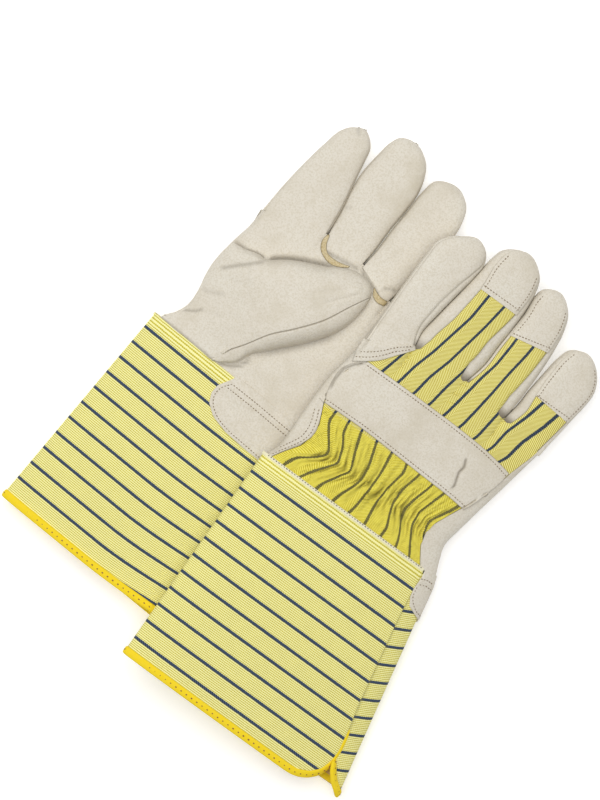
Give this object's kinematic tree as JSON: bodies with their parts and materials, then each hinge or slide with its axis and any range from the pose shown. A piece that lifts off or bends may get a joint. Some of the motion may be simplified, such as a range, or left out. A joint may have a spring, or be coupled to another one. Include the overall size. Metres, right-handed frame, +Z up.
{
  "type": "gauntlet work gloves",
  "caption": "Pair of leather work gloves with striped cotton backs and long stiff cuffs, one palm up and partly under the other, with fingers and thumbs that bend.",
  "frame": {"origin": "centre of the pair's outline, on the surface that the pair lies on", "axes": "+Z up from that surface, +Y from the cuffs to the right glove's fingertips, +X towards its little finger"},
  "size_m": [0.278, 0.3652, 0.0433],
  "materials": {
    "leather": "matte pale grain cowhide",
    "welt_leather": "matte tan split cowhide",
    "striped_cotton": "yellow and cream cotton twill with dark blue stripes",
    "cuff_canvas": "starched ribbed cotton with dark blue stripes",
    "binding_tape": "matte cotton tape",
    "selvage": "overlocked cotton edge",
    "elastic_web": "woven elastic",
    "fleece": "brushed cotton"
  },
  "bodies": {
    "left_hand": {"left_palm": "leather", "left_back_cloth": "striped_cotton", "left_knuckle_strap": "leather", "left_wrist_elastic": "elastic_web", "left_palm_lining": "fleece", "left_cuff_back": "cuff_canvas", "left_cuff_palm": "cuff_canvas", "left_cuff_binding": "binding_tape", "left_wrist_tape": "selvage", "left_pulse_patch": "leather"},
    "left_index": {"left_index_front": "leather", "left_index_fourchette": "welt_leather", "left_index_back": "leather"},
    "left_middle": {"left_middle_front": "leather", "left_middle_fourchette": "welt_leather", "left_middle_back": "striped_cotton", "left_middle_cap": "leather"},
    "left_ring": {"left_ring_front": "leather", "left_ring_fourchette": "welt_leather", "left_ring_back": "striped_cotton", "left_ring_cap": "leather"},
    "left_little": {"left_little_front": "leather", "left_little_fourchette": "welt_leather", "left_little_back": "striped_cotton", "left_little_cap": "leather"},
    "left_thumb": {"left_thumb_inner": "leather", "left_thumb_side": "welt_leather", "left_thumb_outer": "leather"},
    "right_hand": {"right_palm": "leather", "right_back_cloth": "striped_cotton", "right_knuckle_strap": "leather", "right_wrist_elastic": "elastic_web", "right_palm_lining": "fleece", "right_cuff_back": "cuff_canvas", "right_cuff_palm": "cuff_canvas", "right_cuff_binding": "binding_tape", "right_wrist_tape": "selvage", "right_pulse_patch": "leather"},
    "right_index": {"right_index_front": "leather", "right_index_fourchette": "welt_leather", "right_index_back": "leather"},
    "right_middle": {"right_middle_front": "leather", "right_middle_fourchette": "welt_leather", "right_middle_back": "striped_cotton", "right_middle_cap": "leather"},
    "right_ring": {"right_ring_front": "leather", "right_ring_fourchette": "welt_leather", "right_ring_back": "striped_cotton", "right_ring_cap": "leather"},
    "right_little": {"right_little_front": "leather", "right_little_fourchette": "welt_leather", "right_little_back": "striped_cotton", "right_little_cap": "leather"},
    "right_thumb": {"right_thumb_inner": "leather", "right_thumb_side": "welt_leather", "right_thumb_outer": "leather"}
  },
  "joints": [
    {"name": "right_lift", "type": "slide", "parent": "left_hand", "child": "right_hand", "axis": [0, 0, 1], "range_m": [0, 0.2]},
    {"name": "left_index_flex", "type": "hinge", "parent": "left_hand", "child": "left_index", "pos_m": [-0.08786, 0.10477, 0.0163], "axis": [0.9986, -0.0523, 0], "range_deg": [0, 60]},
    {"name": "left_middle_flex", "type": "hinge", "parent": "left_hand", "child": "left_middle", "pos_m": [-0.052, 0.10164, 0.0163], "axis": [1, 0.0087, 0], "range_deg": [0, 60]},
    {"name": "left_ring_flex", "type": "hinge", "parent": "left_hand", "child": "left_ring", "pos_m": [-0.02369, 0.09816, 0.0163], "axis": [0.9954, -0.0958, 0], "range_deg": [0, 60]},
    {"name": "left_little_flex", "type": "hinge", "parent": "left_hand", "child": "left_little", "pos_m": [0.00299, 0.09331, 0.0163], "axis": [0.9914, -0.1305, 0], "range_deg": [0, 60]},
    {"name": "left_thumb_swing", "type": "hinge", "parent": "left_hand", "child": "left_thumb", "pos_m": [-0.09175, 0.02581, 0.02165], "axis": [0.7193, -0.6947, 0], "range_deg": [0, 85]},
    {"name": "right_index_flex", "type": "hinge", "parent": "right_hand", "child": "right_index", "pos_m": [0.00215, 0.07381, 0.02648], "axis": [-0.9867, 0.0436, 0.1563], "range_deg": [0, 60]},
    {"name": "right_middle_flex", "type": "hinge", "parent": "right_hand", "child": "right_middle", "pos_m": [0.03425, 0.07581, 0.0214], "axis": [-0.9836, 0.0906, 0.1558], "range_deg": [0, 60]},
    {"name": "right_ring_flex", "type": "hinge", "parent": "right_hand", "child": "right_ring", "pos_m": [0.06882, 0.07381, 0.01593], "axis": [-0.9863, 0.0523, 0.1562], "range_deg": [0, 60]},
    {"name": "right_little_flex", "type": "hinge", "parent": "right_hand", "child": "right_little", "pos_m": [0.10319, 0.07341, 0.01048], "axis": [-0.9831, 0.0959, 0.1557], "range_deg": [0, 60]},
    {"name": "right_thumb_swing", "type": "hinge", "parent": "right_hand", "child": "right_thumb", "pos_m": [0.02699, -0.00719, 0.01713], "axis": [-0.8554, 0.5, 0.1355], "range_deg": [0, 60]}
  ],
  "couplings": [
    {"joint": "left_ring_flex", "follows": "right_lift", "rad_per_m": 5.235},
    {"joint": "left_little_flex", "follows": "right_lift", "rad_per_m": 5.235},
    {"joint": "right_index_flex", "follows": "right_lift", "rad_per_m": 5.235},
    {"joint": "right_middle_flex", "follows": "right_lift", "rad_per_m": 5.235},
    {"joint": "right_ring_flex", "follows": "right_lift", "rad_per_m": 5.235},
    {"joint": "right_little_flex", "follows": "right_lift", "rad_per_m": 5.235},
    {"joint": "right_thumb_swing", "follows": "right_lift", "rad_per_m": 5.235}
  ]
}
